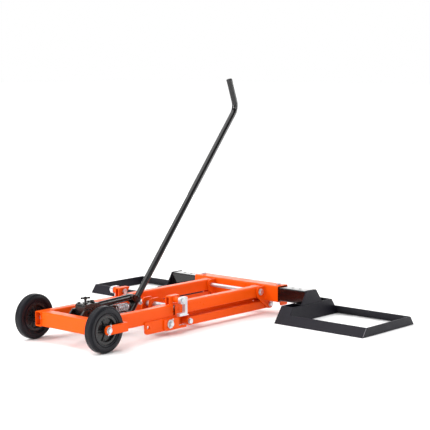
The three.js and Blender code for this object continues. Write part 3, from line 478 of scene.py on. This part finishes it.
def front_rollers():
    for name, side in SIDES:
        refined(f"front_roller_{name}", f"{name}_roller", "hub", 1.4 * MM, 3)
        low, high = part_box(f"roller_axle_{name}")
        x, z = middle(f"front_roller_{name}").x, middle(f"front_roller_{name}").z
        inner = high.y if side < 0 else low.y
        outer = low.y if side < 0 else high.y
        bm = rod(Vector((x, inner, z)), Vector((x, outer, z)), 8 * MM, 1.2 * MM)
        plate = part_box(f"side_plate_{name}")
        face = (plate[0].y if side < 0 else plate[1].y) + side * 0.3 * MM
        washer(Vector((x, face, z)), Y_AXIS * side, 8.2 * MM, 15 * MM, 2.6 * MM, bm)
        washer(Vector((x, inner + side * 2 * MM, z)), Y_AXIS * side, 8.2 * MM, 12 * MM, 3.4 * MM, bm)
        split_pin(Vector((x, outer - side * 4.2 * MM, z)), Vector((0.3, 0, 0.95)), 10.5 * MM, bm)
        piece(f"roller_axle_{name}_rod", bm, "chassis", "zinc", f"roller_axle_{name}")


# ---------------------------------------------------------------- fasteners
def threaded(start, end, radius, bm):
    """A bolt's end with its thread showing as fine turned grooves."""
    length = (end - start).length
    pitch = 1.5 * MM
    turns = max(2, int(length / pitch))
    profile = [(0, 0), (radius, 0)]
    for i in range(turns):
        a = length * i / turns
        b = length * (i + 0.5) / turns
        profile += [(radius, a + 0.05 * MM), (radius - 0.7 * MM, b)]
    profile += [(radius - 1 * MM, length), (0, length)]
    return turned(profile, start, end - start, 24, bm)


def bolt(name, cad_node, body, across, head_side, shank=6 * MM):
    """A hexagon bolt along Y with washers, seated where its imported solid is."""
    low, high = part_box(cad_node)
    x, z = (low.x + high.x) / 2, (low.z + high.z) / 2
    near, far = (high.y, low.y) if head_side > 0 else (low.y, high.y)
    along = Y_AXIS * head_side
    head = 5.2 * MM
    bm = rod(Vector((x, far, z)), Vector((x, near - head_side * head, z)), shank)
    hexagon(Vector((x, near - head_side * head, z)), along, across, head, bm)
    seat = 1.6 * MM
    washer(Vector((x, near - head_side * (head + seat), z)), along, shank * 0.9, across * 0.6, seat, bm)
    nut_face = far + head_side * 8.0 * MM
    hexagon(Vector((x, nut_face, z)), -along, across, 6.4 * MM, bm, dished=False)
    piece(name, bm, body, "zinc", cad_node, sharp=30)


def fasteners():
    for name, side in SIDES:
        bolt(f"link_bolt_{name}_set", f"link_bolt_{name}", "chassis", 17 * MM, side)
        bolt(f"carriage_bolt_{name}_set", f"carriage_bolt_{name}", "carriage", 17 * MM, side)
        low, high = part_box(f"hook_pin_{name}")
        x, z = (low.x + high.x) / 2, (low.z + high.z) / 2
        inner, outer = (low.y, high.y) if side > 0 else (high.y, low.y)
        along = Y_AXIS * side
        bm = rod(Vector((x, inner + side * 5 * MM, z)), Vector((x, outer - side * 2 * MM, z)), 6 * MM)
        threaded(Vector((x, outer - side * 8 * MM, z)), Vector((x, outer, z)), 6 * MM, bm)
        hexagon(Vector((x, inner + side * 5.4 * MM, z)), -along, 17 * MM, 5.4 * MM, bm)
        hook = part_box(f"safety_hook_{name}")
        face = (hook[1].y if side > 0 else hook[0].y) + side * 0.3 * MM
        washer(Vector((x, face, z)), along, 6.3 * MM, 10 * MM, 1.2 * MM, bm)
        hexagon(Vector((x, face + side * 1.3 * MM, z)), along, 17 * MM, 5.4 * MM, bm, dished=False)
        piece(f"hook_pin_{name}_set", bm, "chassis", "zinc", f"hook_pin_{name}", sharp=30)

        low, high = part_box(f"lock_pin_{name}")
        centre = (low + high) / 2
        top, foot = high.z, low.z
        cap = top - 6.6 * MM
        profile = [
            (0, foot), (4.6 * MM, foot), (5.5 * MM, foot + 0.8 * MM), (5.5 * MM, cap), (8.6 * MM, cap),
            (9 * MM, cap + 0.5 * MM), (9 * MM, cap + 2.0 * MM), (6.6 * MM, cap + 2.8 * MM),
            (6.6 * MM, cap + 3.4 * MM), (8.4 * MM, cap + 4.2 * MM), (8.4 * MM, top - 0.9 * MM),
            (7.4 * MM, top), (0, top),
        ]
        piece(f"lock_pin_{name}_knob", turned(profile, Vector((centre.x, centre.y, 0)), Z_AXIS, 32),
              f"{name}_pin", "zinc", f"lock_pin_{name}")

    bm = bmesh.new()
    for name, _ in SIDES:
        spot = middle(f"lock_pin_{name}")
        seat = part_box("carriage_tube")[1].z - 60.2 * MM
        hexagon(Vector((spot.x, spot.y, seat)), -Z_AXIS, 13 * MM, 5 * MM, bm, dished=False)
    piece("lock_pin_nuts", bm, "carriage", "zinc", sharp=30)

    low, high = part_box("carriage_shaft")
    x, z = (low.x + high.x) / 2, (low.z + high.z) / 2
    bm = rod(Vector((x, low.y + 3 * MM, z)), Vector((x, high.y - 3 * MM, z)), 7 * MM)
    for side in (1, -1):
        end = high.y * side
        washer(Vector((x, end - side * 5.9 * MM, z)), Y_AXIS * side, 6.8 * MM, 13 * MM, 1.8 * MM, bm)
        hexagon(Vector((x, end - side * 4.1 * MM, z)), Y_AXIS * side, 19 * MM, 4.1 * MM, bm)
    piece("carriage_shaft_rod", bm, "carriage", "zinc", "carriage_shaft", sharp=30)

    low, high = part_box("arm_pivot_shaft")
    centre = (low + high) / 2
    cap = 2 * MM
    bm = rod(Vector((centre.x, low.y + cap, centre.z)), Vector((centre.x, high.y - cap, centre.z)),
             10 * MM, 0.4 * MM, 36)
    piece("arm_pivot_rod", bm, "chassis", "zinc", "arm_pivot_shaft")
    bm = bmesh.new()
    for side in (1, -1):
        dome = [(0, 0), (9.8 * MM, 0), (9.8 * MM, 0.5 * MM), (8.6 * MM, 1.4 * MM), (6 * MM, 1.9 * MM), (0, cap)]
        turned(dome, Vector((centre.x, side * (high.y - cap), centre.z)), Y_AXIS * side, 36, bm)
    piece("arm_pivot_caps", bm, "chassis", "orange_coat")


# ---------------------------------------------------------------- carriage and trays
def carriage():
    low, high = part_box("carriage_tube")
    rear = low.x
    side_length = 60 * MM
    bottom = high.z - side_length
    tube = square_tube(Vector((rear, low.y, bottom)), Vector((rear + side_length, high.y, high.z)), "Y",
                       radius=6 * MM)
    piece("carriage_section", tube, "carriage", "orange_coat", "carriage_tube")
    front = rear + side_length
    for name, side in SIDES:
        inner, outer = 160 * MM, 166 * MM
        outline = [
            (front + 0.3 * MM, bottom + 4 * MM), (front + 7 * MM, low.z + 1.5 * MM), (front + 12 * MM, low.z),
            (high.x - 6 * MM, low.z), (high.x - 1.6 * MM, low.z + 2 * MM), (high.x, low.z + 7 * MM),
            (high.x - 7 * MM, high.z - 15 * MM), (high.x - 10 * MM, high.z - 11 * MM),
            (high.x - 14 * MM, high.z - 10 * MM), (front + 0.3 * MM, high.z - 10 * MM),
        ]
        bm = bmesh.new()
        cheek = bm.faces.new([bm.verts.new((x, side * inner, z)) for x, z in outline])
        grown = bmesh.ops.extrude_face_region(bm, geom=[cheek])["geom"]
        bmesh.ops.translate(bm, vec=(0, side * (outer - inner), 0), verts=new_verts(grown))
        piece(f"carriage_ear_{name}", bm, "carriage", "orange_coat", bevel=0.8 * MM)
        refined(f"carriage_plate_inner_{name}", "carriage", "orange_coat")
        refined(f"carriage_plate_outer_{name}", "carriage", "orange_coat")
        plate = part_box(f"carriage_plate_outer_{name}")
        y = side * (abs(plate[0].y if side < 0 else plate[1].y) + 0.4 * MM)
        bm = bead([Vector((rear - 0.3 * MM, y, bottom + 2 * MM)),
                   Vector((rear - 0.3 * MM, y, plate[1].z - 2 * MM))])
        bead([Vector((front + 0.4 * MM, side * outer, bottom + 8 * MM)),
              Vector((front + 0.4 * MM, side * outer, high.z - 12 * MM))], 2.0 * MM, bm)
        piece(f"carriage_welds_{name}", bm, "carriage", "orange_coat", sharp=80)


def carved(target, cutter_meshes):
    """The target with holes cut by other shapes."""
    def scratch(bm, label):
        bmesh.ops.recalc_face_normals(bm, faces=bm.faces)
        mesh = bpy.data.meshes.new(label)
        bm.to_mesh(mesh)
        bm.free()
        made = bpy.data.objects.new(label, mesh)
        bpy.context.scene.collection.objects.link(made)
        return made

    body = scratch(target, "carve_body")
    tools = [scratch(bm, "carve_tool") for bm in cutter_meshes]
    for tool in tools:
        cut = body.modifiers.new("cut", "BOOLEAN")
        cut.operation = "DIFFERENCE"
        cut.solver = "EXACT"
        cut.object = tool
    bpy.context.view_layer.update()
    graph = bpy.context.evaluated_depsgraph_get()
    result = bmesh.new()
    result.from_object(body, graph)
    for made in (body, *tools):
        mesh = made.data
        bpy.data.objects.remove(made)
        bpy.data.meshes.remove(mesh)
    return result


def trays():
    for name, side in SIDES:
        refined(f"tray_{name}", f"{name}_tray", "tray_coat", 1.3 * MM, 3, sharp=25)
        low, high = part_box(f"tray_arm_{name}")
        centre = (low + high) / 2
        pin_y = abs(middle(f"lock_pin_{name}").y)
        cutters = []
        pitch = 33 * MM
        for step in (-2, -1, 0, 1, 2, 3):
            y = side * (pin_y + step * pitch)
            cutters.append(rod(Vector((centre.x, y, high.z - 8 * MM)), Vector((centre.x, y, high.z + 4 * MM)),
                               6 * MM, 0.05 * MM, 28))
        tube = carved(square_tube(low, high, "Y", radius=5 * MM), cutters)
        piece(f"tray_arm_{name}_tube", tube, f"{name}_tray", "black_gloss", f"tray_arm_{name}")

        tray_low, tray_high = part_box(f"tray_{name}")
        seat = side * (abs(high.y if side > 0 else low.y) - 0.6 * MM)
        edge = 0.8 * MM
        corners = [
            (low.x - edge, low.z - edge), (low.x - edge, high.z + edge * 0.2),
            (high.x + edge, high.z + edge * 0.2), (high.x + edge, low.z - edge),
        ]
        bm = bead([Vector((x, seat, z)) for x, z in corners], 1.8 * MM)
        beam = abs(high.y if side > 0 else low.y)
        inner = tray_low.y if side > 0 else tray_high.y
        bead([Vector((low.x - 2 * MM, inner + side * 3 * MM, low.z - 0.6 * MM)),
              Vector((low.x - 2 * MM, inner + side * 40 * MM, low.z - 0.6 * MM))], 1.4 * MM, bm)
        # Corner welds where the leaning walls meet the outer wall, and along the ear's foot.
        outer = tray_high.y if side > 0 else tray_low.y
        y = outer - side * 5.8 * MM
        lean = 0.72
        for wall_x, sign in ((tray_low.x, 1), (tray_high.x, -1)):
            foot = wall_x + sign * (6.2 * MM)
            bead([Vector((foot + sign * lean * z, y, z)) for z in (2 * MM, 29 * MM)], 1.7 * MM, bm)
        ear_y = side * (beam + 5.4 * MM)
        bead([Vector((centre.x - 50 * MM, ear_y, low.z + 1.5 * MM)),
              Vector((centre.x + 56 * MM, ear_y, low.z + 1.5 * MM))], 1.6 * MM, bm)
        piece(f"tray_welds_{name}", bm, f"{name}_tray", "tray_coat", sharp=80)

        # Thin lighter lines along the two leaning corners of the outer wall: a painted highlight on the mitres.
        seams = bmesh.new()
        for corner_x, x_way in ((tray_low.x, 1), (tray_high.x, -1)):
            ends = [Vector((corner_x + x_way * lean * z, outer - side * 0.9 * MM, z))
                    for z in (2 * MM, 30.5 * MM)]
            swept([ends[0].lerp(ends[1], i / 8) for i in range(9)], 0.8 * MM, 8, seams)
        piece(f"tray_seam_highlights_{name}", seams, f"{name}_tray", "tray_coat", material=PAINTED_HIGHLIGHT_SEAM)


# ---------------------------------------------------------------- hydraulic unit and handle
def hydraulics():
    refined("jack_bracket", "chassis", "black_cast", 1.0 * MM)
    refined("valve_block", "chassis", "black_cast", 1.8 * MM, 3)
    refined("pump_arm", "chassis", "black_gloss", 1.2 * MM, 3)
    refined("pump_block", "chassis", "black_cast", 1.2 * MM, 3)
    refined("jack_lever", "arms", "orange_coat", 0.8 * MM)
    refined("lever_roller", "arms", "zinc", 0.8 * MM)
    refined("jack_cylinder", "chassis", "black_cast", 1.2 * MM, 3)
    refined("ram", "ram", "chrome", 0.8 * MM)
    refined("pump_plunger", "plunger", "zinc", 0.8 * MM)

    low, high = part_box("return_spring")
    centre = (low + high) / 2
    wire = 1.9 * MM
    radius = (high.z - low.z) / 2 - wire
    turns = 5
    steps = turns * 22
    length = high.x - low.x - 2 * wire
    closed = 0.06  # the share of the wire that lies in the flat turn at each end
    points = []
    for i in range(steps + 1):
        t = i / steps
        travel = min(1, max(0, (t - closed) / (1 - 2 * closed)))
        a = 2 * math.pi * turns * t
        points.append(Vector((low.x + wire + length * travel, centre.y + radius * math.cos(a),
                              centre.z + radius * math.sin(a))))
    piece("return_spring_coil", swept(points, wire, 12), "chassis", "zinc", "return_spring", sharp=70)

    block_low, block_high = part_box("valve_block")
    bm = bmesh.new()
    for dx, dy in ((14, 12), (14, -12), (-26, 15), (-26, -15)):
        spot = Vector((middle("valve_block").x + dx * MM, dy * MM, block_high.z - 7.2 * MM))
        hexagon(spot, Z_AXIS, 9 * MM, 4.5 * MM, bm)
    for dz in (0, 26):
        spot = Vector((block_low.x + 52 * MM, block_low.y + 0.2 * MM, block_low.z + (24 + dz) * MM))
        hexagon(spot, -Y_AXIS, 12 * MM, 4.5 * MM, bm)
        hexagon(spot + Vector((0, -2 * spot.y, 0)), Y_AXIS, 12 * MM, 4.5 * MM, bm)
    piece("valve_block_screws", bm, "chassis", "black_cast", sharp=30)

    low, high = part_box("release_knob")
    centre = (low + high) / 2
    turn = math.radians(-20)
    arm = Vector((math.cos(turn), math.sin(turn), 0))
    bar_z = high.z - 5 * MM
    bm = rod(Vector((centre.x, 0, low.z)), Vector((centre.x, 0, high.z - 1 * MM)), 4 * MM)
    turned([(0, 0), (5.4 * MM, 0), (6 * MM, 1 * MM), (5.6 * MM, 8 * MM), (4.2 * MM, 9.6 * MM), (0, 10 * MM)],
           Vector((centre.x, 0, high.z - 10 * MM)), Z_AXIS, 24, bm)
    for sign in (1, -1):
        tip = [(0, 0), (3.0 * MM, 0), (3.1 * MM, 10 * MM), (3.6 * MM, 13 * MM), (3.2 * MM, 16 * MM),
               (0, 17 * MM)]
        turned(tip, Vector((centre.x, 0, bar_z)), arm * sign, 18, bm)
    piece("release_knob_tee", bm, "knob", "black_cast", "release_knob", sharp=50)


HANDLE_PIVOT = Vector((-171.2 * MM, 0, 107 * MM))
HANDLE_LEAN = math.radians(39.5)
HANDLE_STRAIGHT = 836 * MM
HANDLE_BEND = math.radians(59.7)
HANDLE_BEND_RADIUS = 48 * MM
HANDLE_GRIP = 109 * MM


def handle():
    refined("handle_socket", "handle", "black_gloss", 1.2 * MM, 3)
    low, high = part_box("clamp_screw")
    across = Vector((math.cos(HANDLE_LEAN), 0, -math.sin(HANDLE_LEAN)))
    foot = Vector((low.x, 0, high.z)) + across * 1.0 * MM + Vector((2.0 * MM, 0, -3.0 * MM))
    bm = rod(foot, foot + across * 13 * MM, 3 * MM)
    turned([(0, 0), (5.6 * MM, 0), (6 * MM, 0.8 * MM), (6 * MM, 5.6 * MM), (5.4 * MM, 6.6 * MM), (0, 7 * MM)],
           foot + across * 11.4 * MM, across, 28, bm)
    piece("clamp_screw_head", bm, "handle", "zinc", "clamp_screw")

    # The tube's own line again, with a smooth bend.
    up = Vector((math.sin(HANDLE_LEAN), 0, math.cos(HANDLE_LEAN)))
    tip_way = Vector((math.sin(HANDLE_LEAN - HANDLE_BEND), 0, math.cos(HANDLE_LEAN - HANDLE_BEND)))
    foot = HANDLE_PIVOT + up * 30 * MM
    corner = HANDLE_PIVOT + up * HANDLE_STRAIGHT
    reach = HANDLE_BEND_RADIUS * math.tan(HANDLE_BEND / 2)
    bend_start, bend_end = corner - up * reach, corner + tip_way * reach
    end = corner + tip_way * HANDLE_GRIP
    straight_steps, bend_steps = 14, 16
    points = [HANDLE_PIVOT - up * 40 * MM]
    points += [foot.lerp(bend_start, i / straight_steps) for i in range(straight_steps + 1)]
    for i in range(1, bend_steps + 1):
        t = i / bend_steps
        points.append(bend_start.lerp(corner, t).lerp(corner.lerp(bend_end, t), t))
    points += [bend_end.lerp(end, t) for t in (0.34, 0.67, 1.0)]
    piece("handle_bar", swept(points, 10.9 * MM, 36), "handle", "black_gloss", "handle_tube", sharp=60)
    cap = turned([(0, 0), (11 * MM, 0), (11 * MM, 3.0 * MM), (10.2 * MM, 4.6 * MM), (0, 5.0 * MM)],
                 end - tip_way * 1.2 * MM, tip_way, 36)
    piece("handle_end_cap", cap, "handle", "hub")


# ---------------------------------------------------------------- studio
def studio():
    scene = bpy.context.scene
    camera = bpy.data.objects.new("camera", bpy.data.cameras.new("camera"))
    scene.collection.objects.link(camera)
    camera.location = (-3.3087, -3.1208, 0.9240)
    camera.rotation_euler = (math.radians(90 - 6.735), 0, math.radians(41.299 - 90))
    camera.data.sensor_width = 36
    camera.data.lens = 109.1
    camera.data.clip_end = 120
    scene.camera = camera

    mesh = bpy.data.meshes.new("floor")
    ground = bmesh.new()
    bmesh.ops.create_grid(ground, x_segments=1, y_segments=1, size=40)
    ground.to_mesh(mesh)
    ground.free()
    floor = bpy.data.objects.new("floor", mesh)
    floor.location.z = -0.5 * MM
    scene.collection.objects.link(floor)
    mesh.materials.append(surface("pale_floor", (0.93, 0.93, 0.93), 0.75, spread=0.01, depth=0.0, patch=1.0))

    world = bpy.data.worlds.new("studio")
    scene.world = world
    world.use_nodes = True
    tree = world.node_tree
    soft = tree.nodes["Background"]
    soft.inputs["Color"].default_value = (1, 1, 1, 1)
    soft.inputs["Strength"].default_value = 0.25
    open_air = node(tree, "ShaderNodeBackground", Strength=1.0)
    open_air.inputs["Color"].default_value = (1, 1, 1, 1)
    seen = tree.nodes.new("ShaderNodeLightPath")
    either = tree.nodes.new("ShaderNodeMixShader")
    tree.links.new(seen.outputs["Is Camera Ray"], either.inputs[0])
    tree.links.new(soft.outputs[0], either.inputs[1])
    tree.links.new(open_air.outputs[0], either.inputs[2])
    tree.links.new(either.outputs[0], tree.nodes["World Output"].inputs["Surface"])
    scene.view_settings.view_transform = "Standard"

    def panel(name, place, target, size, power):
        light = bpy.data.lights.new(name, "AREA")
        light.shape = "RECTANGLE"
        light.size, light.size_y = size
        light.energy = power
        made = bpy.data.objects.new(name, light)
        made.location = place
        made.rotation_euler = (Vector(target) - Vector(place)).to_track_quat("-Z", "Y").to_euler()
        scene.collection.objects.link(made)

    panel("rear_key", (-3.2, -0.6, 1.7), (0, 0, 0.1), (1.3, 0.9), 26)
    panel("side_fill", (-0.6, -3.4, 1.3), (0, 0, 0.1), (1.3, 0.9), 18)
    panel("left_strip", (-3.3, 1.2, 1.2), (0, 0, 0.4), (0.6, 2.4), 85)
    panel("right_strip", (2.6, -2.3, 1.2), (0, 0, 0.4), (0.6, 2.4), 45)
    panel("backdrop_glow", (3.3, 2.9, 1.1), (0, 0, 0.1), (3.4, 2.0), 45)
    sky = bpy.data.lights.new("overhead", "SUN")
    sky.energy = 3.3
    sky.angle = math.radians(80)
    made = bpy.data.objects.new("overhead", sky)
    made.rotation_euler = (math.radians(-12), math.radians(-10), 0)
    scene.collection.objects.link(made)


chassis_tubes()
chassis_plates()
chassis_welds()
for wheel_name, wheel_side in SIDES:
    tyre(wheel_name)
    hub(wheel_name, wheel_side)
wheel_axle()
front_rollers()
fasteners()
carriage()
trays()
hydraulics()
handle()
studio()
